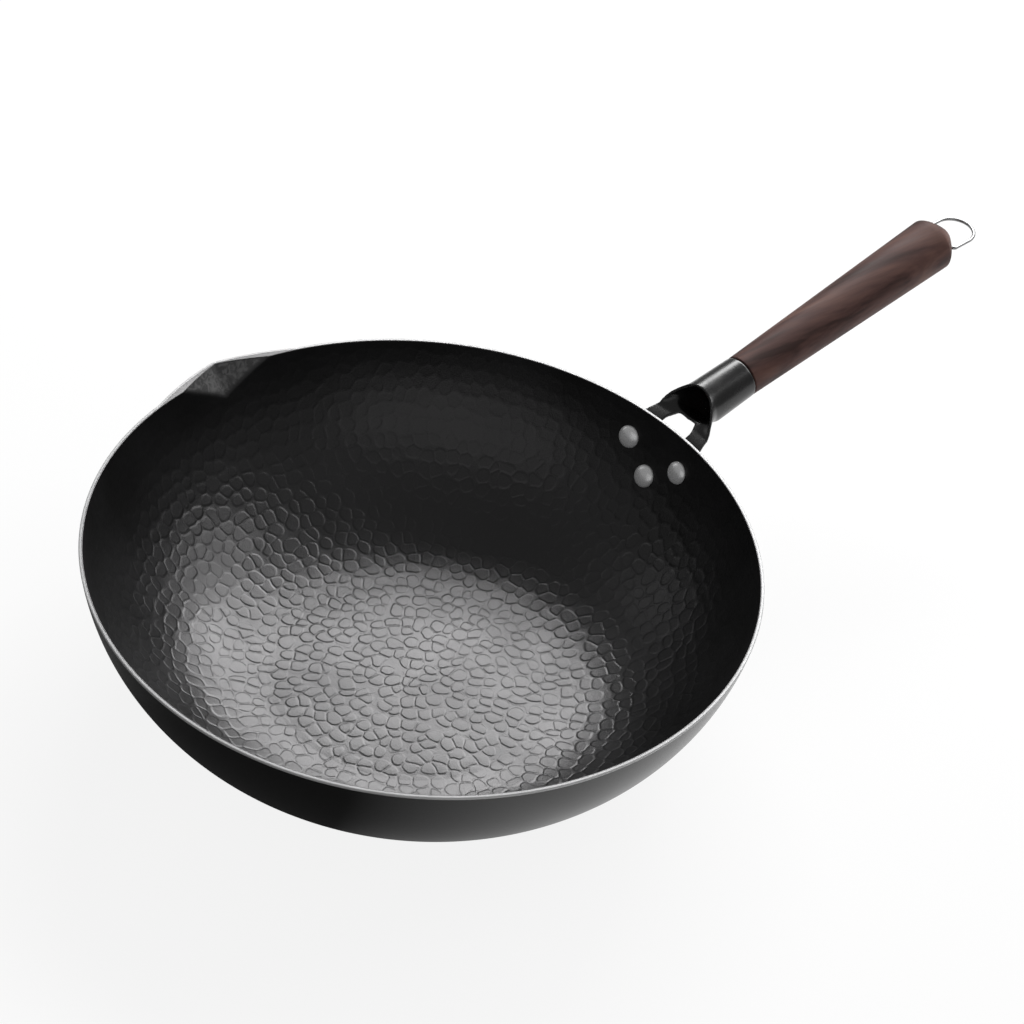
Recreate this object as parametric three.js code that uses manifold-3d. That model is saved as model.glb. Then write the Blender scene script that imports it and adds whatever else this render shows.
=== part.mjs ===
// A flat-bottomed pressed-steel wok with a pouring lip, a riveted socket bracket,
// a turned wooden grip and a wire hanging bail.
// Millimetres, +Z up. The origin is the middle of the base's underside, and the grip points along +X.
import * as THREE from 'three';
import { mergeVertices } from 'three/addons/utils/BufferGeometryUtils.js';
import Module from 'manifold-3d';

const wasm = await Module();
wasm.setup();

const degrees = THREE.MathUtils.degToRad;

// Pan shell: a flat foot, a shallow step, a wide knuckle and a steep wall that ends in a ground edge
const rimRadius = 160;
const panHeight = 86;
const panWall = 2;
const footRadius = 69;
const footStepWidth = 5;
const footStepRise = 1.2;
const knuckleRadius = 73.4;
const knuckleSweep = degrees(36.8);

// Pouring lip: a V pulled out of the rim, narrower on the inside, so that the ground edge widens at it
const lipTurn = degrees(88.2);
const lipHalfSpan = degrees(15);
const lipFacetHalfSpan = degrees(9.5);
const lipReach = 7.5;
const lipDepth = 13.6;

// Grip axis: where it leaves the socket, measured from the rim, and its upward tilt
const socketEndOut = 50.8;
const socketEndUp = 6.7;
const gripTilt = degrees(10.6);

// Socket bracket: one sheet, a closed socket at the grip that unrolls into a plate on the pan wall
const sheet = 1.5;
const socketBore = 9.6;
const socketMouthBore = 10.3;
const socketBevel = 0.7;
const socketLength = 28;
const rampStart = 24;
const crestAlong = 36.5;
const crestBelowAxis = 2.7;
const crestLead = 8;
const bendLead = 4;
const unrollLength = 13;
const openWidePower = 2.2;
const openHighPower = 1.25;
const openSweepPower = 0.42;
const tongueHalfWidth = 17.4;
const tongueSweep = degrees(80);
const plateTopDrop = 11.6;
const plateTipDrop = 40;
const plateHalfWidth = 25;
const plateFlarePower = 1.5;
const plateTaper = 1.5;
const plateTipHalfWidth = 2;
const windowFarHalf = 5.3;
const windowNearHalf = 8.4;
const windowTaperLength = 6;
const windowNearOut = 1.7;
const windowCorner = 1.8;

// Rivets: a dome head in the pan, a shank through wall and plate, and a set head outside
const rivetPitch = 35;
const rivetUpperDrop = 17.3;
const rivetLowerDrop = 29.7;
const rivetHeadRadius = 5.8;
const rivetHeadHeight = 2.6;
const rivetShankRadius = 2.5;
const rivetTailRadius = 3.8;
const rivetTailHeight = 2.2;

// Grip: a turned handle with a tenon in the socket and a rounded butt
const gripLength = 149.5;
const gripNeckRadius = 11;
const gripBellyRadius = 14.3;
const gripBevel = 0.7;
const tenonLength = 18;
const buttLength = 9.5;
const buttFlatRadius = 5.6;
const buttRound = 1.3;

// Screw that holds the tenon, from below
const screwAlong = 9;
const screwShankRadius = 1.75;
const screwHeadRadius = 3.4;
const screwHeadHeight = 1.9;
const screwHeadCrown = 2;
const screwBite = 9;

// Hanging bail: bent wire whose turned-in ends sit in a cross hole near the butt
const wireRadius = 0.95;
const bailInset = 3;
const bailLeg = 11.8;
const bailBend = 1.6;
const bailTuck = 6;
const bailDrop = degrees(9);

// Clearances
const seatGap = 0.35;
const holeGap = 0.3;
const wallGap = 0.3;
const tenonGap = 0.3;
const bailSideGap = 0.7;

// Facets
const weld = 1e-4;
const panSteps = 72;
const knuckleSteps = 4;
const wallSteps = 6;
const lipSteps = 3;
const roundSteps = 32;
const rivetSteps = 16;
const domeSteps = 4;
const holeSteps = 12;
const sheetSteps = 24;
const mouthSteps = 6;
const mouthCrowd = 1.5;
const bendSteps = 7;
const plateSteps = 8;
const gripSteps = 6;
const buttSteps = 5;
const wireSides = 8;
const wireSteps = 56;

// Merges the vertices of a closed geometry and drops the triangles that collapse at its poles.
function closedGeometry(geometry) {
  const bare = new THREE.BufferGeometry();
  bare.setAttribute('position', geometry.attributes.position);
  bare.setIndex(geometry.index);
  const merged = mergeVertices(bare, weld);
  const index = merged.index.array;
  const kept = [];
  for (let i = 0; i < index.length; i += 3) {
    const [a, b, c] = [index[i], index[i + 1], index[i + 2]];
    if (a !== b && b !== c && c !== a) kept.push(a, b, c);
  }
  merged.setIndex(kept);
  return merged;
}

function solidOf(geometry) {
  const closed = closedGeometry(geometry);
  const vertProperties = new Float32Array(closed.attributes.position.array);
  const triVerts = new Uint32Array(closed.index.array);
  return new wasm.Manifold(new wasm.Mesh({ numProp: 3, vertProperties, triVerts }));
}

function geometryOf(solid) {
  const mesh = solid.getMesh();
  const geometry = new THREE.BufferGeometry();
  geometry.setAttribute('position', new THREE.BufferAttribute(mesh.vertProperties, 3));
  geometry.setIndex(new THREE.BufferAttribute(mesh.triVerts, 1));
  geometry.computeVertexNormals();
  return geometry;
}

function cut(geometry, cutters) {
  const solid = cutters.reduce((rest, cutter) => rest.subtract(solidOf(cutter)), solidOf(geometry));
  return geometryOf(solid);
}

function part(name, geometry, look) {
  const mesh = new THREE.Mesh(geometry, new THREE.MeshStandardMaterial(look));
  mesh.name = name;
  return mesh;
}

// A lathe about +X from points given as (distance along X, radius).
function turnedAlongX(outline, steps) {
  const profile = outline.map(([along, radius]) => new THREE.Vector2(radius, along));
  return new THREE.LatheGeometry(profile, steps).rotateZ(-Math.PI / 2);
}

const blackSteel = { color: 0x1b1b1d, roughness: 0.5, metalness: 0.6 };
const blackPaint = { color: 0x141415, roughness: 0.38, metalness: 0.3 };
const brightSteel = { color: 0xb9b9bb, roughness: 0.3, metalness: 1 };
const darkWood = { color: 0x3d2a27, roughness: 0.5, metalness: 0 };

// Wall arc of the pan: it leaves the knuckle smoothly and passes through the rim.
const knuckleCentre = new THREE.Vector2(footRadius + footStepWidth, footStepRise + knuckleRadius);
const knuckleNormal = new THREE.Vector2(-Math.sin(knuckleSweep), Math.cos(knuckleSweep));
const knuckleEnd = knuckleCentre.clone().addScaledVector(knuckleNormal, -knuckleRadius);
const wallChord = new THREE.Vector2(rimRadius, panHeight).sub(knuckleEnd);
const wallRadius = wallChord.lengthSq() / (2 * wallChord.dot(knuckleNormal));
const wallCentre = knuckleEnd.clone().addScaledVector(knuckleNormal, wallRadius);

function wallRadiusAt(height, inset) {
  return wallCentre.x + Math.sqrt((wallRadius - inset) ** 2 - (height - wallCentre.y) ** 2);
}

// Outward normal of the pan wall at a height, as (radial, up).
function wallNormalAt(height) {
  const up = (height - wallCentre.y) / wallRadius;
  return new THREE.Vector2(Math.sqrt(1 - up ** 2), up);
}

// One skin of the shell from the axis to the rim, inset by the wall or not at all.
function panSkin(inset) {
  const points = [new THREE.Vector2(0, inset), new THREE.Vector2(footRadius, inset)];
  points.push(new THREE.Vector2(footRadius + footStepWidth / 2, inset + footStepRise / 2));
  for (let i = 0; i <= knuckleSteps; i++) {
    const angle = (knuckleSweep * i) / knuckleSteps;
    const radius = knuckleRadius - inset;
    const along = knuckleCentre.x + radius * Math.sin(angle);
    points.push(new THREE.Vector2(along, knuckleCentre.y - radius * Math.cos(angle)));
  }
  const wallFoot = points[points.length - 1].y;
  const lipFoot = panHeight - lipDepth;
  for (let i = 1; i <= wallSteps; i++) {
    const height = wallFoot + ((lipFoot - wallFoot) * i) / wallSteps;
    points.push(new THREE.Vector2(wallRadiusAt(height, inset), height));
  }
  for (let i = 1; i <= lipSteps; i++) {
    const height = lipFoot + (lipDepth * i) / lipSteps;
    points.push(new THREE.Vector2(wallRadiusAt(height, inset), height));
  }
  return points;
}

// Pulls the rim out to a V: two flat triangles that meet in a crease and run out on the rim.
function pullLip(geometry) {
  const position = geometry.attributes.position;
  const point = new THREE.Vector3();
  for (let i = 0; i < position.count; i++) {
    point.fromBufferAttribute(position, i);
    const radius = Math.hypot(point.x, point.y);
    const inside = radius < wallRadiusAt(point.z, panWall / 2);
    const span = inside ? lipFacetHalfSpan : lipHalfSpan;
    const away = Math.atan2(point.y, point.x) - lipTurn;
    const across = Math.abs(Math.atan2(Math.sin(away), Math.cos(away))) / span;
    const down = (panHeight - point.z) / lipDepth;
    const pull = lipReach * Math.max(0, 1 - across - down);
    const stretch = 1 + pull / Math.max(1, radius);
    position.setXYZ(i, point.x * stretch, point.y * stretch, point.z);
  }
  return geometry;
}

// Places of the rivets on the outside of the pan wall, each with its outward direction.
function rivetSeat(drop, side) {
  const height = panHeight - drop;
  const radius = wallRadiusAt(height, 0);
  const turn = Math.asin((side * rivetPitch) / (2 * radius));
  const normal = wallNormalAt(height);
  const around = new THREE.Vector3(Math.cos(turn), Math.sin(turn), 0);
  return {
    point: around.clone().multiplyScalar(radius).setZ(height),
    outward: around.clone().multiplyScalar(normal.x).setZ(normal.y),
  };
}

const rivetSeats = {
  rivet_left: rivetSeat(rivetUpperDrop, 1),
  rivet_right: rivetSeat(rivetUpperDrop, -1),
  rivet_lower: rivetSeat(rivetLowerDrop, 0),
};

// Moves a shape that is turned about +X onto a seat, with +X along the seat's outward direction.
function seated(geometry, seat) {
  const turn = new THREE.Quaternion().setFromUnitVectors(new THREE.Vector3(1, 0, 0), seat.outward);
  return geometry.applyQuaternion(turn).translate(seat.point.x, seat.point.y, seat.point.z);
}

function rivetHole(seat) {
  const reach = panWall + sheet + rivetHeadHeight;
  const radius = rivetShankRadius + holeGap;
  const outline = [[-reach, 0], [-reach, radius], [reach, radius], [reach, 0]];
  return seated(turnedAlongX(outline, holeSteps), seat);
}

function panBody() {
  const profile = [...panSkin(0), ...panSkin(panWall).reverse()];
  const shell = new THREE.LatheGeometry(profile, panSteps, lipTurn + Math.PI / 2).rotateX(Math.PI / 2);
  return cut(pullLip(shell), Object.values(rivetSeats).map(rivetHole));
}

// A rivet, with its distance along the shank counted outwards from the outside of the pan wall.
function rivet(seat) {
  const headSeat = -panWall - seatGap;
  const tailSeat = wallGap + sheet + seatGap;
  const outline = [];
  for (let i = 0; i <= domeSteps; i++) {
    const angle = (Math.PI / 2) * (i / domeSteps);
    outline.push([headSeat - rivetHeadHeight * Math.cos(angle), rivetHeadRadius * Math.sin(angle)]);
  }
  outline.push([headSeat, rivetShankRadius]);
  outline.push([tailSeat, rivetShankRadius]);
  for (let i = 0; i <= domeSteps; i++) {
    const angle = (Math.PI / 2) * (i / domeSteps);
    outline.push([tailSeat + rivetTailHeight * Math.sin(angle), rivetTailRadius * Math.cos(angle)]);
  }
  return seated(turnedAlongX(outline, rivetSteps), seat);
}

// Frame of the socket: its end at the grip, its axis towards the butt and its upward side.
const socketEnd = new THREE.Vector3(rimRadius + socketEndOut, 0, panHeight + socketEndUp);
const gripAxis = new THREE.Vector3(Math.cos(gripTilt), 0, Math.sin(gripTilt));
const gripUp = new THREE.Vector3(-Math.sin(gripTilt), 0, Math.cos(gripTilt));

function onSocket(along, above) {
  return socketEnd.clone().addScaledVector(gripAxis, -along).addScaledVector(gripUp, above);
}

function socketBoreAt(along) {
  return THREE.MathUtils.lerp(socketBore, socketMouthBore, Math.min(1, along / socketLength));
}

// Height of the socket's floor above the grip axis: it follows the bore, then ramps up to a crest.
function floorAbove(along) {
  const rise = THREE.MathUtils.smoothstep(along, rampStart, crestAlong);
  return THREE.MathUtils.lerp(-socketBoreAt(along), -crestBelowAxis, rise);
}

// Point on the bracket's face that lies along the pan wall, in the plane of symmetry.
function plateLine(height) {
  const normal = wallNormalAt(height);
  return new THREE.Vector3(wallRadiusAt(height, 0), 0, height).add(
    new THREE.Vector3(normal.x, 0, normal.y).multiplyScalar(wallGap),
  );
}

function wallInward(height) {
  const normal = wallNormalAt(height);
  return new THREE.Vector3(-normal.x, 0, -normal.y);
}

// How sharply the wall curves across the bracket.
function wallHug(height) {
  return wallNormalAt(height).x / wallRadiusAt(height, 0);
}

// Half width of the plate below its upper rivets: a shield that narrows to a blunt tip.
function plateHalfAt(fraction) {
  return plateHalfWidth * (1 - fraction ** plateTaper) ** (1 / plateTaper);
}

// Rows of the sheet from the grip to the plate's tip. Each row is part of an ellipse that stands on the
// sheet's middle line: its half width, height, swept half angle, hug of the wall and sheet thickness.
function bracketRows() {
  const rows = [];
  const mouthBore = socketBoreAt(socketLength);
  const mouthHigh = (mouthBore - floorAbove(socketLength)) / 2;
  const midRamp = (rampStart + socketLength) / 2;
  for (const along of [0, socketBevel, rampStart / 2, rampStart, midRamp, socketLength]) {
    const bore = socketBoreAt(along);
    const floor = floorAbove(along);
    const wall = along === 0 ? sheet - socketBevel : sheet;
    const middle = onSocket(along, floor);
    const high = (bore - floor) / 2;
    rows.push({ middle, up: gripUp, wide: bore, high, sweep: Math.PI, hug: 0, wall });
  }
  const closedCount = rows.length;

  // The mouth unrolls: the arc opens and flattens while it widens towards the plate.
  const openRow = (middle, up, bendPart, hug) => {
    const along = socketEnd.clone().sub(middle).dot(gripAxis);
    const open = THREE.MathUtils.clamp((along - socketLength) / unrollLength, 0, 1);
    const flare = (plateHalfWidth - tongueHalfWidth) * bendPart ** plateFlarePower;
    const half = tongueHalfWidth + flare;
    const wide = THREE.MathUtils.lerp(mouthBore, half / Math.sin(tongueSweep), open ** openWidePower);
    const high = mouthHigh * (1 - open ** openHighPower);
    const sweep = THREE.MathUtils.lerp(Math.PI, tongueSweep, open ** openSweepPower);
    rows.push({ middle, up, wide, high, sweep, hug, wall: sheet });
  };
  for (let i = 1; i <= mouthSteps; i++) {
    const along = THREE.MathUtils.lerp(socketLength, crestAlong, (i / mouthSteps) ** mouthCrowd);
    openRow(onSocket(along, floorAbove(along)), gripUp, 0, 0);
  }

  // Beyond the crest the sheet bends down onto the wall.
  const plateTop = panHeight - plateTopDrop;
  const crest = onSocket(crestAlong, -crestBelowAxis);
  const landing = plateLine(plateTop);
  const upWall = new THREE.Vector3().crossVectors(wallInward(plateTop), new THREE.Vector3(0, 1, 0));
  const bend = new THREE.CubicBezierCurve3(
    crest,
    crest.clone().addScaledVector(gripAxis, -crestLead),
    landing.clone().addScaledVector(upWall, bendLead),
    landing,
  );
  for (let i = 1; i <= bendSteps; i++) {
    const part = i / bendSteps;
    const up = new THREE.Vector3().crossVectors(bend.getTangent(part), new THREE.Vector3(0, -1, 0));
    openRow(bend.getPoint(part), up, part, wallHug(plateTop) * part ** 2);
  }

  // The plate lies along the wall and narrows below its upper rivets.
  const plateRow = (height, half) => {
    const wide = half / Math.sin(tongueSweep);
    const [middle, up] = [plateLine(height), wallInward(height)];
    rows.push({ middle, up, wide, high: 0, sweep: tongueSweep, hug: wallHug(height), wall: sheet });
  };
  const shoulder = panHeight - rivetUpperDrop;
  const tip = panHeight - plateTipDrop;
  const tipFraction = (1 - (plateTipHalfWidth / plateHalfWidth) ** plateTaper) ** (1 / plateTaper);
  plateRow(shoulder, plateHalfWidth);
  for (let i = 1; i <= plateSteps; i++) {
    const fraction = tipFraction * Math.sin((Math.PI / 2) * (i / plateSteps));
    plateRow(THREE.MathUtils.lerp(shoulder, tip, fraction), plateHalfAt(fraction));
  }
  return { rows, closedCount };
}

// Closed skin of the bent sheet: two faces, the cut ends and the two edges of the unrolled part.
function sheetGeometry({ rows, closedCount }) {
  const corners = [];
  for (const row of rows) {
    for (let column = 0; column <= sheetSteps; column++) {
      const angle = row.sweep * ((2 * column) / sheetSteps - 1);
      const aside = row.wide * Math.sin(angle);
      const rise = row.high * (1 - Math.cos(angle)) + (row.hug * aside ** 2) / 2;
      const runAside = row.wide * Math.cos(angle);
      const runUp = row.high * Math.sin(angle) + row.hug * aside * runAside;
      const face = row.middle.clone().addScaledVector(row.up, rise).setY(aside);
      const normal = row.up.clone().multiplyScalar(runAside).setY(-runUp).normalize();
      corners.push(face, face.clone().addScaledVector(normal, -row.wall));
    }
  }
  const face = (row, column) => 2 * (row * (sheetSteps + 1) + column);
  const back = (row, column) => face(row, column) + 1;
  const index = [];
  const quad = (a, b, c, d) => index.push(a, b, c, a, c, d);
  const last = rows.length - 1;
  for (let column = 0; column < sheetSteps; column++) {
    const next = column + 1;
    for (let row = 0; row < last; row++) {
      quad(face(row, column), face(row, next), face(row + 1, next), face(row + 1, column));
      quad(back(row, column), back(row + 1, column), back(row + 1, next), back(row, next));
    }
    quad(face(0, column), back(0, column), back(0, next), face(0, next));
    quad(face(last, column), face(last, next), back(last, next), back(last, column));
  }
  for (let row = closedCount - 1; row < last; row++) {
    quad(face(row, 0), face(row + 1, 0), back(row + 1, 0), back(row, 0));
    const end = sheetSteps;
    quad(face(row, end), back(row, end), back(row + 1, end), face(row + 1, end));
  }
  const geometry = new THREE.BufferGeometry().setFromPoints(corners);
  geometry.setIndex(index);
  return geometry;
}

// Plan of the drain window in the bend, cut straight down.
function windowCutter() {
  const far = onSocket(crestAlong, 0).x;
  const near = rimRadius + windowNearOut;
  const side = [
    [far, windowFarHalf - windowCorner],
    [far - windowCorner / 2, windowFarHalf + windowCorner / 4],
    [far - windowTaperLength, windowNearHalf],
    [near + windowCorner, windowNearHalf],
    [near, windowNearHalf - windowCorner],
  ];
  const mirrored = side.map(([out, aside]) => [out, -aside]).reverse();
  const plan = new THREE.Shape([...side, ...mirrored].map(([out, aside]) => new THREE.Vector2(out, aside)));
  const depth = 2 * plateTopDrop;
  const cutter = new THREE.ExtrudeGeometry(plan, { depth, bevelEnabled: false });
  return cutter.translate(0, 0, panHeight - plateTopDrop);
}

// Seat of the screw: on the underside of the socket, pointing away from the grip axis.
const screwSeat = {
  point: onSocket(screwAlong, -socketBoreAt(screwAlong) - sheet),
  outward: gripUp.clone().negate(),
};

function screwHole() {
  const radius = screwShankRadius + holeGap;
  const depth = sheet + screwBite + holeGap;
  const outline = [[-depth, 0], [-depth, radius], [sheet, radius], [sheet, 0]];
  return seated(turnedAlongX(outline, holeSteps), screwSeat);
}

function handleBracket() {
  const holes = Object.values(rivetSeats).map(rivetHole);
  return cut(sheetGeometry(bracketRows()), [windowCutter(), screwHole(), ...holes]);
}

function socketScrew() {
  const tip = -sheet - screwBite;
  const outline = [
    [tip, 0],
    [tip + screwShankRadius, screwShankRadius],
    [seatGap, screwShankRadius],
    [seatGap, screwHeadRadius],
    [seatGap + screwHeadHeight / 2, screwHeadRadius],
    [seatGap + screwHeadHeight, screwHeadCrown],
    [seatGap + screwHeadHeight, 0],
  ];
  return seated(turnedAlongX(outline, rivetSteps), screwSeat);
}

// Radius of the rounded butt at a distance from the grip's end.
function buttRadiusAt(fromEnd) {
  const rise = 1 - (1 - Math.min(1, fromEnd / buttLength)) ** buttRound;
  return THREE.MathUtils.lerp(buttFlatRadius, gripBellyRadius, rise);
}

// Moves a shape made about the grip axis, with its zero at the socket's end, into place.
function onGrip(geometry) {
  return geometry.rotateY(-gripTilt).translate(socketEnd.x, socketEnd.y, socketEnd.z);
}

function handleGrip() {
  const tenonRadius = socketBore - tenonGap;
  const outline = [
    [-tenonLength, 0],
    [-tenonLength, tenonRadius - gripBevel],
    [-tenonLength + gripBevel, tenonRadius],
    [seatGap, tenonRadius],
    [seatGap, gripNeckRadius - gripBevel],
    [seatGap + gripBevel, gripNeckRadius],
  ];
  const bellyAt = gripLength - buttLength;
  for (let i = 1; i <= gripSteps; i++) {
    const along = THREE.MathUtils.lerp(seatGap + gripBevel, bellyAt, i / gripSteps);
    outline.push([along, THREE.MathUtils.lerp(gripNeckRadius, gripBellyRadius, i / gripSteps)]);
  }
  for (let i = 1; i <= buttSteps; i++) {
    const fromEnd = buttLength * (1 - i / buttSteps);
    outline.push([gripLength - fromEnd, buttRadiusAt(fromEnd)]);
  }
  outline.push([gripLength, 0]);
  const hole = wireRadius + holeGap;
  const reach = 2 * gripBellyRadius;
  const bore = turnedAlongX([[-reach, 0], [-reach, hole], [reach, hole], [reach, 0]], holeSteps);
  bore.rotateZ(Math.PI / 2).translate(gripLength - bailInset, 0, 0);
  return cut(onGrip(turnedAlongX(outline, roundSteps)), [onGrip(bore), screwHole()]);
}

// Arc in the plane of the bail, from one angle to another.
class BailArc extends THREE.Curve {
  constructor(centre, radius, from, to) {
    super();
    Object.assign(this, { centre, radius, from, to });
  }

  getPoint(part) {
    const angle = THREE.MathUtils.lerp(this.from, this.to, part);
    const turn = new THREE.Vector3(Math.cos(angle), Math.sin(angle), 0);
    return turn.multiplyScalar(this.radius).add(this.centre);
  }
}

// Middle line of the wire: tucked ends, two bends, two legs and a half circle, about the pivot.
function bailPath() {
  const half = buttRadiusAt(bailInset) + bailSideGap + wireRadius;
  const tuck = buttRadiusAt(bailInset) - bailTuck;
  const at = (out, aside) => new THREE.Vector3(out, aside, 0);
  const path = new THREE.CurvePath();
  path.add(new THREE.LineCurve3(at(0, -tuck), at(0, bailBend - half)));
  path.add(new BailArc(at(bailBend, bailBend - half), bailBend, Math.PI, Math.PI * 1.5));
  path.add(new THREE.LineCurve3(at(bailBend, -half), at(bailLeg, -half)));
  path.add(new BailArc(at(bailLeg, 0), half, -Math.PI / 2, Math.PI / 2));
  path.add(new THREE.LineCurve3(at(bailLeg, half), at(bailBend, half)));
  path.add(new BailArc(at(bailBend, half - bailBend), bailBend, Math.PI / 2, Math.PI));
  path.add(new THREE.LineCurve3(at(0, half - bailBend), at(0, tuck)));
  return path;
}

function hangRing() {
  const section = new THREE.Shape();
  for (let i = 0; i < wireSides; i++) {
    const angle = (2 * Math.PI * i) / wireSides;
    const corner = [wireRadius * Math.cos(angle), wireRadius * Math.sin(angle)];
    if (i === 0) section.moveTo(...corner);
    else section.lineTo(...corner);
  }
  const wire = new THREE.ExtrudeGeometry(section, { steps: wireSteps, extrudePath: bailPath() });
  wire.rotateY(bailDrop).translate(gripLength - bailInset, 0, 0);
  return geometryOf(solidOf(onGrip(wire)));
}

const wok = new THREE.Group();
wok.name = 'wok';
wok.add(part('pan_body', panBody(), blackSteel));
wok.add(part('handle_bracket', handleBracket(), blackPaint));
for (const [name, seat] of Object.entries(rivetSeats)) {
  wok.add(part(name, rivet(seat), brightSteel));
}
wok.add(part('handle_grip', handleGrip(), darkWood));
wok.add(part('socket_screw', socketScrew(), brightSteel));
wok.add(part('hang_ring', hangRing(), brightSteel));

export default wok;
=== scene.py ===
import math
import bpy
import numpy as np
from mathutils import Matrix


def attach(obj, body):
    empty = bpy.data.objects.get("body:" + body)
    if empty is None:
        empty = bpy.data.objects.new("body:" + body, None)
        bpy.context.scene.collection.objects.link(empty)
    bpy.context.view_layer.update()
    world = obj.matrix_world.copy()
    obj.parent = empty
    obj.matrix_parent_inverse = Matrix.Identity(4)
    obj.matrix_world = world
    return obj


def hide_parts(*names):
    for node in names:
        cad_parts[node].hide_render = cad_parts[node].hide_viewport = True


# metres throughout, +Z up, grip along +X, pouring lip towards +Y
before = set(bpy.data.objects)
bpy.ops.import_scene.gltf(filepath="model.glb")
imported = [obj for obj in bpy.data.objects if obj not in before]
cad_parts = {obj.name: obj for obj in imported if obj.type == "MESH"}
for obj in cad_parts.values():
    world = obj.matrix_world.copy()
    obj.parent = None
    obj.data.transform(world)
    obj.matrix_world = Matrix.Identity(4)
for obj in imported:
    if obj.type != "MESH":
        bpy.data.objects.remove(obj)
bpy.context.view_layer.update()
mm = 0.001
rng = np.random.default_rng(7)  # fixed, so that every run gives the same pads
print("frame loaded", len(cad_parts), "nodes")


# small helpers
def smooth(x, low, high):
    # cubic step: 0 below low, 1 above high, no kink at either end
    t = np.clip((x - low) / (high - low), 0, 1)
    return t * t * (3 - 2 * t)


def softPositive(x, width):
    # x where it is positive, 0 where negative, with the corner rounded over the width
    return (x + np.sqrt(x * x + width * width)) / 2


def turnOf(angle):
    # the same angle brought between minus and plus half a turn
    return (angle + math.pi) % (2 * math.pi) - math.pi


def unit(vectors):
    # each vector divided by its own length
    return vectors / np.linalg.norm(vectors, axis=-1, keepdims=True)


def fullTurn(count):
    # evenly spaced angles that go once round, the first at 0
    return np.linspace(0, 2 * math.pi, count, endpoint=False)


def inPlane(points):
    # (out, up) in the plane of symmetry as (x, 0, z)
    return np.stack([points[..., 0], 0 * points[..., 0], points[..., 1]], -1)


def makeMesh(name, points, faces, normals=None):
    # vertices and faces straight from arrays; faces is a list of index arrays, one per face size
    mesh = bpy.data.meshes.new(name)
    points = np.ascontiguousarray(points, dtype=np.float32).reshape(-1, 3)
    mesh.vertices.add(len(points))
    mesh.vertices.foreach_set("co", points.ravel())
    sizes = np.concatenate([np.full(len(f), f.shape[1]) for f in faces])
    loops = np.concatenate([f.ravel() for f in faces]).astype(np.int32)
    mesh.loops.add(len(loops))
    mesh.loops.foreach_set("vertex_index", loops)
    mesh.polygons.add(len(sizes))
    mesh.polygons.foreach_set("loop_start", np.concatenate([[0], np.cumsum(sizes)[:-1]]).astype(np.int32))
    mesh.update(calc_edges=True)
    mesh.shade_smooth()
    if normals is not None:
        mesh.normals_split_custom_set_from_vertices(normals.reshape(-1, 3).astype(np.float32))
    obj = bpy.data.objects.new(name, mesh)
    bpy.context.scene.collection.objects.link(obj)
    return obj


def gridFaces(rows, columns, wrap):
    # quads between neighbouring rows and columns; wrap joins the last column to the first
    index = np.arange(rows * columns).reshape(rows, columns)
    right = np.roll(index, -1, axis=1)
    if not wrap:
        index, right = index[:, :-1], right[:, :-1]
    quads = np.stack([index[:-1], right[:-1], right[1:], index[1:]], axis=-1)
    return quads.reshape(-1, 4)


def gridNormals(points):
    # cross product of the central differences along columns and rows; columns wrap
    alongColumns = np.roll(points, -1, axis=1) - np.roll(points, 1, axis=1)
    alongRows = np.gradient(points, axis=0)
    normals = np.cross(alongColumns, alongRows)
    return normals / np.maximum(np.linalg.norm(normals, axis=-1, keepdims=True), 1e-12)


def setFloat(obj, name, values):
    # one float per vertex, read by materials as an attribute
    layer = obj.data.attributes.new(name, "FLOAT", "POINT")
    layer.data.foreach_set("value", np.ascontiguousarray(values, dtype=np.float32).ravel())


# pan: shell profile
pan = {
    "rimRadius": 160 * mm,
    "height": 86 * mm,
    "wall": 2 * mm,
    "footRadius": 69 * mm,
    "stepWidth": 5 * mm,
    "stepRise": 1.2 * mm,
    "knuckleRadius": 73.4 * mm,
    "knuckleSweep": math.radians(36.8),
    "lipTurn": math.radians(88.2),
    "lipHalfSpan": math.radians(15),
    "lipFacetHalfSpan": math.radians(9.5),
    "lipReach": 7.5 * mm,
    "lipDepth": 13.6 * mm,
    "lipSoft": 0.02,  # rounding of the lip's crease, as a share of its span
    "baseRadius": 69 * mm,  # inside, where the base ends in a slight kink
    "baseEdge": 0.2 * mm,  # how far its edge lies above the foot's own thickness
    "crown": 0.3 * mm,  # how far its middle lies above its edge
    "kink": math.radians(3.0),  # slope just outside the base
    "slopePowers": (0.6, 2.5),  # range in which the knuckle's power is looked for
    "edgeRound": 0.4 * mm,  # coated inner corner of the rim
    "groundFlat": 0.8 * mm,  # bare outer part of the rim's top
    "groundRound": 0.45 * mm,
    "groundDown": 0.8 * mm,  # how far it is bare down the outside
    "pole": 0.2 * mm,  # radius of the first ring about the middle, inside
    "footPole": 0.5 * mm,  # the same, underneath
}
skinSteps = 400  # points along each part of a skin
knuckleCentre = np.array([pan["footRadius"] + pan["stepWidth"], pan["stepRise"] + pan["knuckleRadius"]])
knuckleNormal = np.array([-math.sin(pan["knuckleSweep"]), math.cos(pan["knuckleSweep"])])
knuckleEnd = knuckleCentre - pan["knuckleRadius"] * knuckleNormal
wallChord = np.array([pan["rimRadius"], pan["height"]]) - knuckleEnd
wallRadius = wallChord @ wallChord / (2 * wallChord @ knuckleNormal)
wallCentre = knuckleEnd + wallRadius * knuckleNormal


def wallOut(height, inset=0.0):
    # radius of the pan wall at a height: a circle about the wall centre, smaller by the inset
    return wallCentre[0] + np.sqrt((wallRadius - inset) ** 2 - (height - wallCentre[1]) ** 2)


def wallNormal(height):
    # outward direction of the wall at a height, as (radial, up)
    up = (height - wallCentre[1]) / wallRadius
    return np.stack([np.sqrt(1 - up**2), up], axis=-1)


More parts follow.
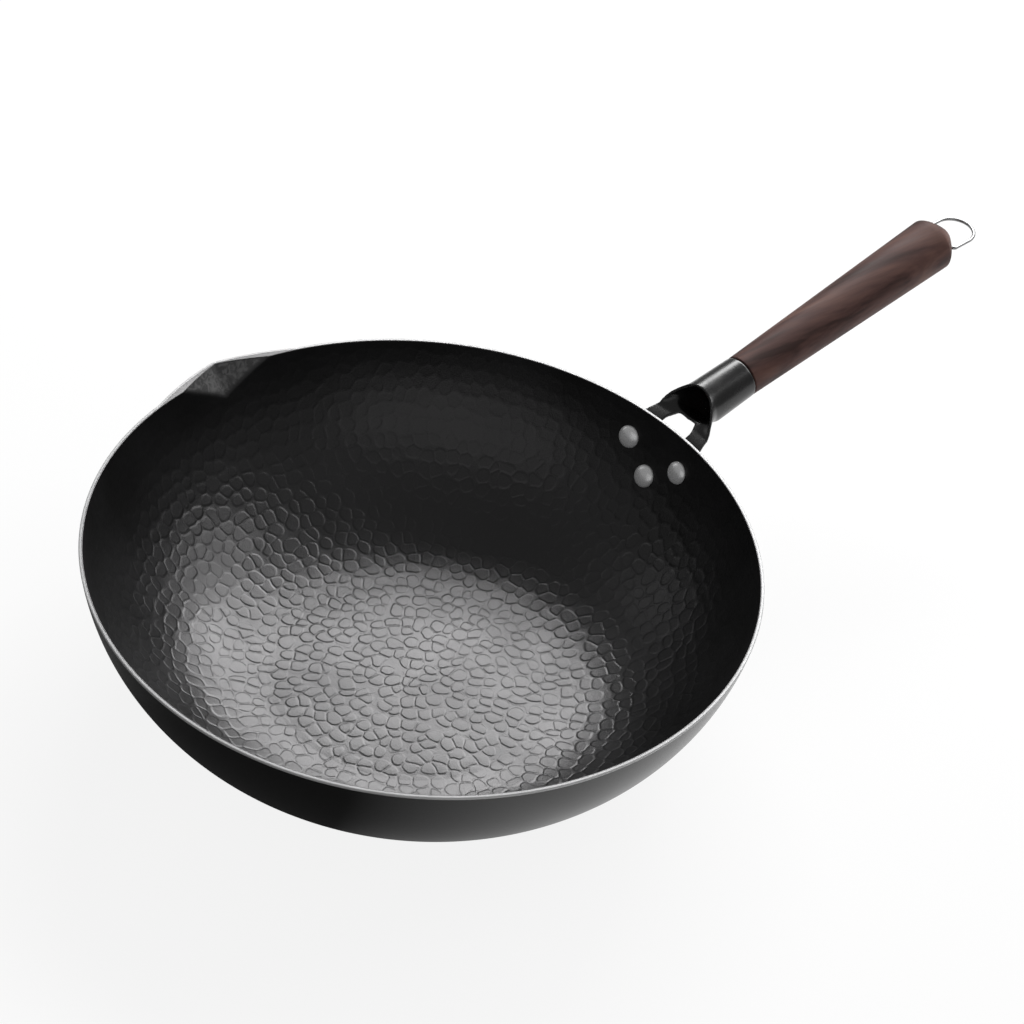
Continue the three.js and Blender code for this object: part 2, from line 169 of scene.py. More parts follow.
def withWall(lower, inset):
    # a skin's lower part with the wall's arc added up to the rim
    height = np.linspace(lower[-1, 1], pan["height"], skinSteps)[1:]
    return np.concatenate([lower, np.stack([wallOut(height, inset), height], 1)])


def outsideSkin():
    # radius and height from the middle to the rim: flat foot, straight step, knuckle arc, wall arc
    angle = np.linspace(0, pan["knuckleSweep"], skinSteps)
    knuckle = knuckleCentre + pan["knuckleRadius"] * np.stack([np.sin(angle), -np.cos(angle)], 1)
    return withWall(np.concatenate([[[0, 0], [pan["footRadius"], 0]], knuckle]), 0.0)


def insideSkin():
    # radius and height from the middle to the rim: a low parabola out to the kink, then a slope that grows by a
    # power of the way to the wall, the power being the one that lands on the wall's lower end, then the wall arc
    t = np.linspace(0, 1, skinSteps)
    landing = knuckleCentre - (pan["knuckleRadius"] - pan["wall"]) * knuckleNormal
    start = np.array([pan["baseRadius"], pan["wall"] + pan["baseEdge"]])
    base = np.stack([t * start[0], start[1] + pan["crown"] * (1 - t**2)], 1)
    out, up = landing - start
    powers = np.linspace(*pan["slopePowers"], 200)
    slopes = np.tan(pan["kink"] + (pan["knuckleSweep"] - pan["kink"]) * t ** powers[:, None])
    rises = out * np.cumsum((slopes[:, 1:] + slopes[:, :-1]) / 2, 1) / (skinSteps - 1)
    best = rises[np.argmin(np.abs(rises[:, -1] - up))]
    knuckle = np.stack([start[0] + t[1:] * out, start[1] + best * up / best[-1]], 1)
    return withWall(np.concatenate([base, knuckle]), pan["wall"])


def profileLengths(profile):
    # length along a profile at each of its points: the sum of the straight pieces before it
    return np.concatenate([[0], np.cumsum(np.hypot(*np.diff(profile, axis=0).T))])


def alongProfile(profile, lengths):
    # points at given lengths along a profile, found by linear lookup
    known = profileLengths(profile)
    return np.stack([np.interp(lengths, known, profile[:, k]) for k in (0, 1)], -1)


def lipPull(around, height, span):
    # outward pull of the pouring lip: full at the crease on the rim, falling evenly to both sides and down
    away = turnOf(around - pan["lipTurn"]) / span
    across = np.sqrt(away**2 + pan["lipSoft"] ** 2) - pan["lipSoft"]
    down = (pan["height"] - height) / pan["lipDepth"]
    return pan["lipReach"] * softPositive(1 - across - down, pan["lipSoft"])


def spin(profile, around, span):
    # a profile turned about Z at each angle, then pulled out at the lip over a half span
    radius = profile[:, 0][:, None] + lipPull(around[None, :], profile[:, 1][:, None], span)
    height = np.repeat(profile[:, 1][:, None], len(around), 1)
    return np.stack([radius * np.cos(around), radius * np.sin(around), height], -1)


# pan: hammered relief
hammer = {
    "cell": 7.3 * mm,  # spacing of the pads
    "jitter": 0.29,
    "bend": 0.45 * mm,  # how far outlines wander
    "bendSize": 6 * mm,
    "leastRadius": 4 * mm,  # nearer the middle than this they wander no further round
    "pad": 4.1 * mm,  # radius of a pad
    "padSpread": 0.14,
    "oval": 0.22,
    "edge": 0.9 * mm,  # width of a pad's sloping edge
    "crowd": 0.6,  # how steeply two pads fall to the line they share
    "depth": 0.135 * mm,
    "dome": 0.05 * mm,
    "uneven": 0.03 * mm,
    "fadeFrom": 140 * mm,  # length from the middle where it starts to fade
    "fadeTo": 190 * mm,
    "rimShare": 0.35,
    "rimFade": 5 * mm,  # the last stretch below the rim, where it ends
    "lipFade": (0.4 * mm, 1.2 * mm),  # pull of the lip at which it starts to fade and is gone
    "hem": 0.25 * mm,  # how far a piece's last row is tucked under the next
}
ringCount, mostCells = 36, 180  # rings of pads, and pads on a ring, that random values are drawn for
cellNoise = rng.random((ringCount, mostCells, 5))
ringOffset = rng.random(ringCount)
waves = rng.normal(size=(4, 9, 3))
wavePhases = rng.random((4, 9)) * 2 * math.pi


def wander(points, kind, size):
    # smooth noise about -1 to 1: a third of the sum of nine sine waves of mixed direction, of about the given size
    sway = points @ (waves[kind].T * (2.2 / size)) + wavePhases[kind]
    return np.sin(sway).sum(-1) / 3


def hammered(length, radius, around, points):
    # oval pads of mixed size set on rings; each point takes the pad it lies deepest in, its depth inside that
    # pad's outline or from the line shared with the next pad is worked out, and the edge rises over that depth
    sideways = hammer["bend"] * wander(points, 1, hammer["bendSize"])
    length = length + hammer["bend"] * wander(points, 0, hammer["bendSize"])
    around = around + sideways / np.maximum(radius, hammer["leastRadius"])
    first = np.full(length.shape, -1.0)
    second = np.full(length.shape, -1.0)
    lift = np.zeros(length.shape)
    home = np.floor(length / hammer["cell"]).astype(int)
    for ringStep in (-2, -1, 0, 1, 2):
        ring = np.clip(home + ringStep, 0, ringCount - 1)
        ringLength = (ring + 0.5) * hammer["cell"]
        ringRadius = np.interp(ringLength, insideLengths, insideSamples[:, 0])
        count = np.maximum(np.round(2 * math.pi * ringRadius / hammer["cell"]), 3).astype(int)
        spacing = 2 * math.pi / count
        offset = ringOffset[ring] * spacing
        place = np.floor((around - offset) / spacing).astype(int)
        for cellStep in (-2, -1, 0, 1, 2):
            cell = (place + cellStep) % count
            noise = cellNoise[ring, np.minimum(cell, mostCells - 1)]
            seedLength = ringLength + (noise[..., 0] - 0.5) * 2 * hammer["jitter"] * hammer["cell"]
            seedTurn = offset + (cell + 0.5 + (noise[..., 1] - 0.5) * 2 * hammer["jitter"]) * spacing
            byLength = length - seedLength
            byTurn = np.maximum(radius, 0.3 * hammer["cell"]) * turnOf(around - seedTurn)
            oval = 1 + hammer["oval"] * (2 * noise[..., 3] - 1)
            size = hammer["pad"] * (1 + hammer["padSpread"] * (2 * noise[..., 4] - 1))
            deep = size - np.hypot(byLength * oval, byTurn / oval)
            deep = np.where(home + ringStep == ring, deep, -1.0)
            better = deep > first
            second = np.where(better, first, np.where(deep < first, np.maximum(second, deep), second))
            lift = np.where(better, noise[..., 2] - 0.5, lift)
            first = np.maximum(first, deep)
    inside = np.minimum(first, hammer["crowd"] * (first - second))
    rise = smooth(inside, 0, hammer["edge"])
    dome = hammer["dome"] * np.clip(first / hammer["pad"], 0, 1)
    return (hammer["depth"] + hammer["uneven"] * 2 * lift) * (rise - 1) + dome


insideProfile = insideSkin()
insideLength = profileLengths(insideProfile)[-1]
insideLengths = np.linspace(0, insideLength, 2 * skinSteps)
insideSamples = alongProfile(insideProfile, insideLengths)


def insidePiece(name, fromLength, toLength, rows, columns, middle):
    # spun inside skin pushed along its normal by the relief, which fades towards the rim and on the lip;
    # one extra row at each end gives true normals where pieces meet, and the last one is tucked as a hem
    step = (toLength - fromLength) / (rows - 1)
    lengths = fromLength + step * np.arange(-1, rows + 2)
    lengths = np.clip(lengths, pan["pole"], insideLength)
    around = fullTurn(columns)
    profile = alongProfile(insideProfile, lengths)
    plain = spin(profile, around, pan["lipFacetHalfSpan"])
    push = hammered(*np.broadcast_arrays(lengths[:, None], profile[:, 0][:, None], around[None, :]), plain)
    share = 1 - (1 - hammer["rimShare"]) * smooth(lengths, hammer["fadeFrom"], hammer["fadeTo"])
    share = share * (1 - smooth(lengths, insideLength - hammer["rimFade"], insideLength))
    pull = lipPull(around[None, :], profile[:, 1][:, None], pan["lipFacetHalfSpan"])
    onLip = smooth(pull, *hammer["lipFade"])
    push = push * share[:, None] * (1 - onLip)
    outward = -gridNormals(plain)
    points = plain + outward * push[..., None]
    normals = -gridNormals(points)
    points[-2] -= outward[-2] * hammer["hem"]
    points, normals, onLip = points[1:-1], normals[1:-1], onLip[1:-1]
    faces = [gridFaces(rows + 1, columns, True)[:, ::-1]]
    flat, bent, pressed = points.reshape(-1, 3), normals.reshape(-1, 3), onLip.ravel()
    if middle:
        flat = np.concatenate([flat, points[0].mean(0, keepdims=True)])
        bent = np.concatenate([bent, [[0, 0, 1]]])
        pressed = np.concatenate([pressed, [0]])
        ring = np.arange(columns)
        faces.append(np.stack([np.full(columns, len(flat) - 1), np.roll(ring, -1), ring], 1)[:, ::-1])
    obj = makeMesh(name, flat, faces, bent)
    setFloat(obj, "pressed", pressed)
    return obj


insideRings = {  # length from the middle where a piece starts and ends, its rows and its columns
    "pan_base_middle": (2 * pan["pole"], 36 * mm, 96, 640),
    "pan_base_ring": (36 * mm, 57 * mm, 58, 1000),
    "pan_base_edge": (57 * mm, 77 * mm, 54, 1320),
    "pan_knuckle_low": (77 * mm, 99 * mm, 56, 1640),
    "pan_knuckle_high": (99 * mm, 122 * mm, 55, 1720),
    "pan_wall_low": (122 * mm, 149 * mm, 54, 1760),
    "pan_wall_high": (149 * mm, insideLength - pan["edgeRound"], 60, 1600),
}
insidePieces = [insidePiece(name, *values, name == "pan_base_middle") for name, values in insideRings.items()]
print("hammered inside made")


# pan: outside and ground rim
def outsidePiece(rows=150, columns=360):
    # the outside skin, spun from the middle of the foot up to the bare edge
    profile = outsideSkin()
    end = profileLengths(profile)[-1] - pan["groundRound"] - pan["groundDown"]
    samples = alongProfile(profile, np.linspace(pan["footPole"], end, rows))
    points = spin(samples, fullTurn(columns), pan["lipHalfSpan"])
    cap = np.arange(columns)[::-1][None, :]
    return makeMesh("pan_outside", points, [gridFaces(rows, columns, True), cap])


def rimRows():
    # radius and height pairs over the rim: the coated inner corner and top, then the bare outer part of the top,
    # its round corner and a short way down the outside
    top, soft, turn = pan["height"], pan["edgeRound"], pan["groundRound"]
    inner, outer = wallOut(top, pan["wall"]), wallOut(top - turn)
    t = np.linspace(0, math.pi / 2, 6)
    corner = np.stack([inner + soft * (1 - np.cos(t)), top - soft + soft * np.sin(t)], 1)
    bend = np.stack([outer - turn + turn * np.sin(t), top - turn + turn * np.cos(t)], 1)
    bareFrom = np.array([[outer - turn - pan["groundFlat"], top]])
    down = top - turn - np.linspace(0, pan["groundDown"], 4)[1:]
    coated = np.concatenate([corner, bareFrom])
    return coated, np.concatenate([bareFrom, bend, np.stack([wallOut(down), down], 1)])


def rimPieces(columns=1120):
    # the coated corner and the bare ground edge, spun; at the lip the inner corner follows the narrow pull, and the
    # rest the wide one
    around = fullTurn(columns)
    corner, ground = rimRows()
    over = spin(ground, around, pan["lipHalfSpan"])
    inside = np.concatenate([spin(corner[:-1], around, pan["lipFacetHalfSpan"]), over[:1]])
    coated = makeMesh("pan_edge", inside, [gridFaces(len(corner), columns, True)[:, ::-1]])
    setFloat(coated, "pressed", np.zeros(len(corner) * columns))
    bare = makeMesh("pan_rim", over, [gridFaces(len(ground), columns, True)[:, ::-1]])
    return coated, bare


panOutside = outsidePiece()
panEdge, panRim = rimPieces()
print("outside and rim made")


# bracket: one bent sheet
bracket = {
    "sheet": 1.5 * mm,
    "bore": 9.6 * mm,
    "mouthBore": 10.3 * mm,
    "bevel": 0.7 * mm,
    "socketLength": 28 * mm,
    "rampStart": 24 * mm,
    "crestAlong": 36.5 * mm,
    "crestBelow": 2.7 * mm,
    "crestLead": 8 * mm,
    "bendLead": 4 * mm,
    "unroll": 13 * mm,
    "widePower": 1.4,  # how fast the mouth widens, lowers and opens along the unroll
    "highPower": 1.25,
    "sweepPower": 0.42,
    "tongueHalf": 17.4 * mm,
    "tongueSweep": math.radians(80),
    "plateTop": 11.6 * mm,
    "plateTip": 40 * mm,
    "plateHalf": 25 * mm,
    "flarePower": 1.5,
    "taper": 1.5,
    "tipStop": 0.985,  # share of the way to the tip where the plate ends
    "wallGap": 0.3 * mm,
    "voxel": 0.36 * mm,
    "relax": 6,  # rounds of smoothing after the even mesh
    "rows": {"socket": 40, "mouth": 30, "bend": 36, "shoulder": 8, "plate": 40},
}
grip = {
    "endOut": 50.8 * mm,
    "endUp": 6.7 * mm,
    "tilt": math.radians(10.6),
    "length": 149.5 * mm,
    "neck": 11.0 * mm,
    "belly": 14.3 * mm,
    "bevel": 0.7 * mm,
    "gap": 0.35 * mm,
    "tenon": 9.3 * mm,
    "tenonLength": 18 * mm,
    "buttLength": 9.5 * mm,
    "buttFlat": 5.6 * mm,
    "buttRound": 1.3,
    "endBevel": 0.4 * mm,
    "pole": 0.2 * mm,  # radius of the first and last ring about the axis
}
socketEnd = np.array([pan["rimRadius"] + grip["endOut"], pan["height"] + grip["endUp"]])
gripAxis = np.array([math.cos(grip["tilt"]), math.sin(grip["tilt"])])
gripUp = np.array([-gripAxis[1], gripAxis[0]])
rivets = {
    "pitch": 35 * mm,
    "upperDrop": 17.3 * mm,
    "lowerDrop": 29.7 * mm,
    "headRadius": 5.8 * mm,
    "headHeight": 2.6 * mm,
    "headPower": 0.9,
    "shank": 2.5 * mm,
    "tailRadius": 3.8 * mm,
    "tailHeight": 2.2 * mm,
    "seat": 0.35 * mm,  # gap under each head
    "hole": 2.8 * mm,
    "cut": (-4 * mm, 6 * mm),  # how far a hole's cutter reaches in and out
}


def onSocket(along, above):
    # points in the plane of symmetry, by distance back from the socket's end and height above the grip axis
    return socketEnd - np.multiply.outer(along, gripAxis) + np.multiply.outer(above, gripUp)


def boreAt(along):
    # radius of the socket's bore: grows evenly from its end to its mouth, and no further
    share = np.minimum(1, along / bracket["socketLength"])
    return bracket["bore"] + (bracket["mouthBore"] - bracket["bore"]) * share


def floorAt(along):
    # the socket's floor: the bore's underside, then a cubic ramp up to the crest
    rise = smooth(along, bracket["rampStart"], bracket["crestAlong"])
    return -boreAt(along) * (1 - rise) - bracket["crestBelow"] * rise


def plateLine(height):
    # the bracket's face along the pan wall, in the plane of symmetry
    return np.stack([wallOut(height), height], -1) + bracket["wallGap"] * wallNormal(height)


def sheetRows():
    # middle line, upward side, ellipse half width and height, swept half angle and wall hug of each row:
    # a closed socket, the opening mouth, the bend down to the wall, and the plate that narrows to a tip
    b, rows = bracket, bracket["rows"]
    along = np.concatenate([[0, b["bevel"] / 2, b["bevel"]], np.linspace(2 * mm, b["socketLength"], rows["socket"])])
    closedCount = len(along)
    bore, floor, zero = boreAt(along), floorAt(along), 0 * along
    up = np.tile(gripUp, (closedCount, 1))
    parts = [(onSocket(along, floor), up, bore, (bore - floor) / 2, zero + math.pi, zero)]
    mouthHigh = (b["mouthBore"] - floorAt(np.array(b["socketLength"]))) / 2

    def openPart(middle, up, bendPart, hug):
        # width, height and sweep go from the mouth's to the flat plate's by powers of the share unrolled
        opened = np.clip(((socketEnd - middle) @ gripAxis - b["socketLength"]) / b["unroll"], 0, 1)
        half = b["tongueHalf"] + (b["plateHalf"] - b["tongueHalf"]) * bendPart ** b["flarePower"]
        wide = b["mouthBore"] + (half / math.sin(b["tongueSweep"]) - b["mouthBore"]) * opened ** b["widePower"]
        high = mouthHigh * (1 - opened ** b["highPower"])
        sweep = math.pi + (b["tongueSweep"] - math.pi) * opened ** b["sweepPower"]
        parts.append((middle, up, wide, high, sweep, hug))

    t = (np.arange(1, rows["mouth"] + 1) / rows["mouth"]) ** 1.8  # closer rows at the mouth
    along = b["socketLength"] + (b["crestAlong"] - b["socketLength"]) * t
    openPart(onSocket(along, floorAt(along)), np.tile(gripUp, (rows["mouth"], 1)), 0 * t, 0 * t)
    plateTop = np.array(pan["height"] - b["plateTop"])
    crest, landing = onSocket(b["crestAlong"], -b["crestBelow"]), plateLine(plateTop)
    normal = wallNormal(plateTop)
    upWall = np.array([-normal[1], normal[0]])
    corners = [crest, crest - gripAxis * b["crestLead"], landing + upWall * b["bendLead"], landing]
    t = np.arange(1, rows["bend"] + 1)[:, None] / rows["bend"]
    middle = sum(c * w for c, w in zip(corners, [(1 - t) ** 3, 3 * t * (1 - t) ** 2, 3 * t * t * (1 - t), t**3]))
    run = unit(sum((corners[k + 1] - corners[k]) * w for k, w in enumerate([(1 - t) ** 2, 2 * t * (1 - t), t * t])))
    hugTop = normal[0] / wallOut(plateTop)
    openPart(middle, np.stack([run[:, 1], -run[:, 0]], 1), t[:, 0], hugTop * t[:, 0] ** 2)
    shoulder, tip = pan["height"] - rivets["upperDrop"], pan["height"] - b["plateTip"]
    fraction = b["tipStop"] * np.sin(np.linspace(0, math.pi / 2, rows["plate"]))
    straight = np.linspace(plateTop, shoulder, rows["shoulder"] + 2)[1:-1]
    height = np.concatenate([straight, shoulder + (tip - shoulder) * fraction])
    fraction = np.concatenate([0 * straight, fraction])
    wide = b["plateHalf"] * (1 - fraction ** b["taper"]) ** (1 / b["taper"]) / math.sin(b["tongueSweep"])
    normal, zero = wallNormal(height), 0 * height
    parts.append((plateLine(height), -normal, wide, zero, zero + b["tongueSweep"], normal[:, 0] / wallOut(height)))
    return [np.concatenate(part) for part in zip(*parts)], closedCount


def sheetMesh(columns=72):
    # each row is an arc of its ellipse about the middle line; the back face lies one sheet behind the front
    (middle, up, wide, high, sweep, hug), closedCount = sheetRows()
    rows = len(wide)
    thick = np.full(rows, bracket["sheet"])
    thick[:3] -= bracket["bevel"] * np.array([1, 0.3, 0])  # rounded end of the socket
    angle = sweep[:, None] * np.linspace(-1, 1, columns + 1)
    aside = wide[:, None] * np.sin(angle)
    rise = high[:, None] * (1 - np.cos(angle)) + hug[:, None] * aside**2 / 2
    runAside = wide[:, None] * np.cos(angle)
    runUp = high[:, None] * np.sin(angle) + hug[:, None] * aside * runAside
    up3, sideways = inPlane(up)[:, None], np.array([0, 1.0, 0])
    front = inPlane(middle)[:, None] + rise[..., None] * up3 + aside[..., None] * sideways
    normal = unit(runAside[..., None] * up3 - runUp[..., None] * sideways)
    back = front - normal * thick[:, None, None]
    f = np.arange(rows * (columns + 1)).reshape(rows, columns + 1)
    f[:closedCount, -1] = f[:closedCount, 0]
    g = f + rows * (columns + 1)
    k = closedCount - 1
    quads = [  # front, back, socket end, tip and the two free sides of the opened sheet
        np.stack([f[:-1, :-1], f[:-1, 1:], f[1:, 1:], f[1:, :-1]], -1),
        np.stack([g[:-1, :-1], g[1:, :-1], g[1:, 1:], g[:-1, 1:]], -1),
        np.stack([f[0, :-1], g[0, :-1], g[0, 1:], f[0, 1:]], -1),
        np.stack([f[-1, :-1], f[-1, 1:], g[-1, 1:], g[-1, :-1]], -1),
        np.stack([f[k:-1, 0], f[k + 1 :, 0], g[k + 1 :, 0], g[k:-1, 0]], -1),
        np.stack([f[k:-1, -1], g[k:-1, -1], g[k + 1 :, -1], f[k + 1 :, -1]], -1),
    ]
    faces = np.concatenate([q.reshape(-1, 4) for q in quads])
    used, faces = np.unique(faces, return_inverse=True)
    points = np.concatenate([front.reshape(-1, 3), back.reshape(-1, 3)])[used]
    return makeMesh("handle_bracket_sheet", points, [faces.reshape(-1, 4)])


def prism(name, bottom, top):
    # straight sides between two outlines of as many points, closed by a flat face at each end
    n = len(bottom)
    ring = np.arange(n)
    return makeMesh(name, np.concatenate([bottom, top]), [gridFaces(2, n, True), ring[::-1][None], ring[None] + n])


def roundedOutline(corners, radius, steps=8):
    # each corner replaced by a curve that starts and ends at the radius along its two sides
    corners = np.array(corners, float)
    start, end = (corners + unit(np.roll(corners, step, axis=0) - corners) * radius for step in (1, -1))
    t = np.linspace(0, 1, steps)[None, :, None]
    curve = (1 - t) ** 2 * start[:, None] + 2 * t * (1 - t) * corners[:, None] + t**2 * end[:, None]
    return curve.reshape(-1, 2)


def tubeBetween(name, start, end, radius, sides=48):
    # a plain closed cylinder between two points
    axis = unit(end - start)
    one = unit(np.cross(axis, [0.31, 0.77, 0.55]))  # any direction that no cutter runs along
    angle = fullTurn(sides)[:, None]
    ring = radius * (np.cos(angle) * one + np.sin(angle) * np.cross(axis, one))
    return prism(name, start + ring, end + ring)


def bake(obj, cutters, voxel, smoothing):
    # cuts the cutters out, remeshes evenly, smooths, and keeps the result as the object's mesh
    for cutter in cutters:
        cut = obj.modifiers.new("cut", "BOOLEAN")
        cut.operation, cut.solver, cut.object = "DIFFERENCE", "EXACT", cutter
    even = obj.modifiers.new("even", "REMESH")
    even.mode, even.voxel_size, even.use_smooth_shade = "VOXEL", voxel, True
    relax = obj.modifiers.new("relax", "SMOOTH")
    relax.factor, relax.iterations = 0.5, smoothing
    bpy.context.view_layer.update()
    made = bpy.data.meshes.new_from_object(obj.evaluated_get(bpy.context.evaluated_depsgraph_get()))
    obj.modifiers.clear()
    obj.data = made
    for cutter in cutters:
        bpy.data.objects.remove(cutter)
    return obj


def rivetSeat(drop, side):
    # point on the outside of the wall and the outward direction there
    height = pan["height"] - drop
    radius = wallOut(height)
    turn = math.asin(side * rivets["pitch"] / 2 / radius)
    normal = wallNormal(np.array(height))
    flat = np.array([math.cos(turn), math.sin(turn), 0])
    return flat * radius + [0, 0, height], flat * normal[0] + [0, 0, normal[1]]


seats = {
    "rivet_left": rivetSeat(rivets["upperDrop"], 1),
    "rivet_right": rivetSeat(rivets["upperDrop"], -1),
    "rivet_lower": rivetSeat(rivets["lowerDrop"], 0),
}
window = {
    "farHalf": 5.4 * mm,
    "nearHalf": 8.4 * mm,
    "taperLength": 6 * mm,
    "nearOut": 1.7 * mm,  # its near edge, measured from the rim
    "corner": 1.6 * mm,
}
screw = {
    "along": 9 * mm,  # from the socket's end
    "shank": 1.75 * mm,
    "play": 0.3 * mm,
    "bite": 9 * mm,
    "point": 2 * mm,
    "head": 3.4 * mm,
    "headHeight": 1.9 * mm,
    "domed": 0.45,  # share of the head's height
    "seat": 0.35 * mm,
    "recess": 0.9 * mm,
    "arm": (0.35 * mm, 0.5 * mm),  # half width of the recess at its floor and at its top
    "armEnd": (1.7 * mm, 2.0 * mm),
    "cut": (-16 * mm, -7 * mm),  # its hole's cutter, measured from the grip's axis
}


def bracketPiece():
    # the sheet with its drain window and rivet and screw holes, evened out so that its edges are rounded
    far, near = onSocket(bracket["crestAlong"], 0)[0], pan["rimRadius"] + window["nearOut"]
    side = [(far, window["farHalf"]), (far - window["taperLength"], window["nearHalf"]), (near, window["nearHalf"])]
    outline = roundedOutline(side + [(x, -y) for x, y in side[::-1]], window["corner"])
    levels = (pan["height"] - bracket["plateTop"], pan["height"] + bracket["plateTop"])
    cutters = [prism("window_cut", *(np.insert(outline, 2, level, axis=1) for level in levels))]
    for name, (point, outward) in seats.items():
        ends = [point + outward * reach for reach in rivets["cut"]]
        cutters.append(tubeBetween(name + "_cut", *ends, rivets["hole"]))
    ends = [inPlane(onSocket(screw["along"], reach)) for reach in screw["cut"]]
    cutters.append(tubeBetween("screw_cut", *ends, screw["shank"] + screw["play"]))
    obj = bake(sheetMesh(), cutters, bracket["voxel"], bracket["relax"])
    obj.name = "bracket_sheet"
    return obj


bracketSheet = bracketPiece()
print("bracket made", len(bracketSheet.data.polygons))


# turned pieces
def turned(name, outline, start, axis, columns, sink=None):
    # a profile of (distance along the axis, radius) turned about an axis, moved along it by the sink, both ends
    # closed by a fan to a point on the axis
    axis = unit(axis)
    one = unit(np.cross(axis, [0, 1.0, 0]))
    angle = fullTurn(columns)
    along, radius = outline.T
    ring = np.cos(angle)[:, None] * one + np.sin(angle)[:, None] * np.cross(axis, one)
    drop = 0 if sink is None else sink(along[:, None], radius[:, None], angle[None, :])
    points = start + (along[:, None] + drop)[..., None] * axis + radius[:, None, None] * ring[None]
    flat = np.concatenate([points.reshape(-1, 3), [start + along[0] * axis, points[-1].mean(0)]])
    count, here = len(along), np.arange(columns)
    after, top = np.roll(here, -1), (count - 1) * columns
    firstFan = np.stack([after, here, np.full(columns, count * columns)], 1)
    lastFan = np.stack([here + top, after + top, np.full(columns, count * columns + 1)], 1)
    return makeMesh(name, flat, [gridFaces(count, columns, True), np.concatenate([firstFan, lastFan])])


def rivetPiece(name):
    # dome head inside the pan, an ellipse filled out a little by a power; a short skirt and the shank; and a flatter
    # set head outside, a quarter of an ellipse
    point, outward = seats[name]
    r = rivets
    head, tail = -pan["wall"] - r["seat"], bracket["wallGap"] + bracket["sheet"] + r["seat"]
    t = np.linspace(0.02, 1, 24) * math.pi / 2
    dome = np.stack([head - r["headHeight"] * np.cos(t) ** r["headPower"], r["headRadius"] * np.sin(t)], 1)
    skirt = np.array([
        [head + 0.12 * mm, r["headRadius"] - 0.15 * mm],
        [head + 0.15 * mm, r["shank"]],
        [tail - 0.1 * mm, r["shank"]],
    ])
    t = np.linspace(0, 0.98, 16) * math.pi / 2
    cap = np.stack([tail + r["tailHeight"] * np.sin(t), r["tailRadius"] * np.cos(t)], 1)
    return turned(name + "_visual", np.concatenate([dome, skirt, cap]), point, outward, 64)


rivetPieces = {name: rivetPiece(name) for name in seats}
gripStart, gripAxis3 = inPlane(socketEnd), inPlane(gripAxis)


def buttRadius(fromEnd):
    # radius of the grip at a distance from its end, within the butt: a power curve from the flat end to the belly
    rise = 1 - (1 - fromEnd / grip["buttLength"]) ** grip["buttRound"]
    return grip["buttFlat"] + rise * (grip["belly"] - grip["buttFlat"])


def gripPiece():
    # tenon, shoulder with a quarter round, straight swell from neck to belly, and a rounded butt with a flat end
    g = grip
    back, swellFrom = -g["tenonLength"], g["gap"] + g["bevel"]
    tenon = [
        [back, g["pole"]],
        [back, g["tenon"] - g["bevel"]],
        [back + g["bevel"], g["tenon"]],
        [g["gap"], g["tenon"]],
    ]
    q = np.linspace(0, math.pi / 2, 8)
    shoulder = np.stack([swellFrom - g["bevel"] * np.cos(q), g["neck"] - g["bevel"] * (1 - np.sin(q))], 1)
    t = np.linspace(0, 1, 60)[1:]
    swellAlong = swellFrom + t * (g["length"] - g["buttLength"] - swellFrom)
    swell = np.stack([swellAlong, g["neck"] + t * (g["belly"] - g["neck"])], 1)
    fromEnd = g["buttLength"] * (1 - np.linspace(0, 1, 32))[1:]
    butt = np.stack([g["length"] - fromEnd, buttRadius(fromEnd)], 1)
    end = np.stack([np.full(5, g["length"]), np.linspace(g["buttFlat"] - g["endBevel"], g["pole"], 5)], 1)
    return turned("grip_wood", np.concatenate([tenon, shoulder, swell, butt, end]), gripStart, gripAxis3, 128)


gripWood = gripPiece()


def screwPiece():
    # point, shank, and a head whose upper share is half an ellipse; a cross recess is sunk in its top
    s = screw
    place = onSocket(s["along"], -boreAt(np.array(s["along"])) - bracket["sheet"])
    tip, seat = -bracket["sheet"] - s["bite"], s["seat"]
    share = np.linspace(1, 0, 30)[:-1]
    dome = 1 - s["domed"] * (1 - np.sqrt(1 - share**2))
    head = np.stack([seat + s["headHeight"] * dome, s["head"] * share], 1)
    body = [
        [tip, 0.1 * mm],
        [tip + s["point"], s["shank"]],
        [seat, s["shank"]],
        [seat, s["head"] - 0.1 * mm],
        [seat + 0.2 * mm, s["head"]],
    ]

    def recess(along, radius, angle):
        # full depth where either cross bar runs, fading at its sides and ends
        arm = np.minimum(np.abs(radius * np.cos(angle)), np.abs(radius * np.sin(angle)))
        inside = (1 - smooth(arm, *s["arm"])) * (1 - smooth(radius, *s["armEnd"]))
        return -s["recess"] * inside * (along > seat + 0.3 * mm)

    return turned("screw_visual", np.concatenate([body, head]), inPlane(place), -inPlane(gripUp), 160, recess)


screwVisual = screwPiece()

bail = {
    "wire": 0.95 * mm,
    "inset": 3 * mm,  # of the cross hole from the butt's end
    "leg": 11.8 * mm,
    "bend": 1.6 * mm,
    "tuck": 6 * mm,  # how far an end goes into the wood
    "drop": math.radians(9),
    "sideGap": 0.7 * mm,
    "sides": 24,
}


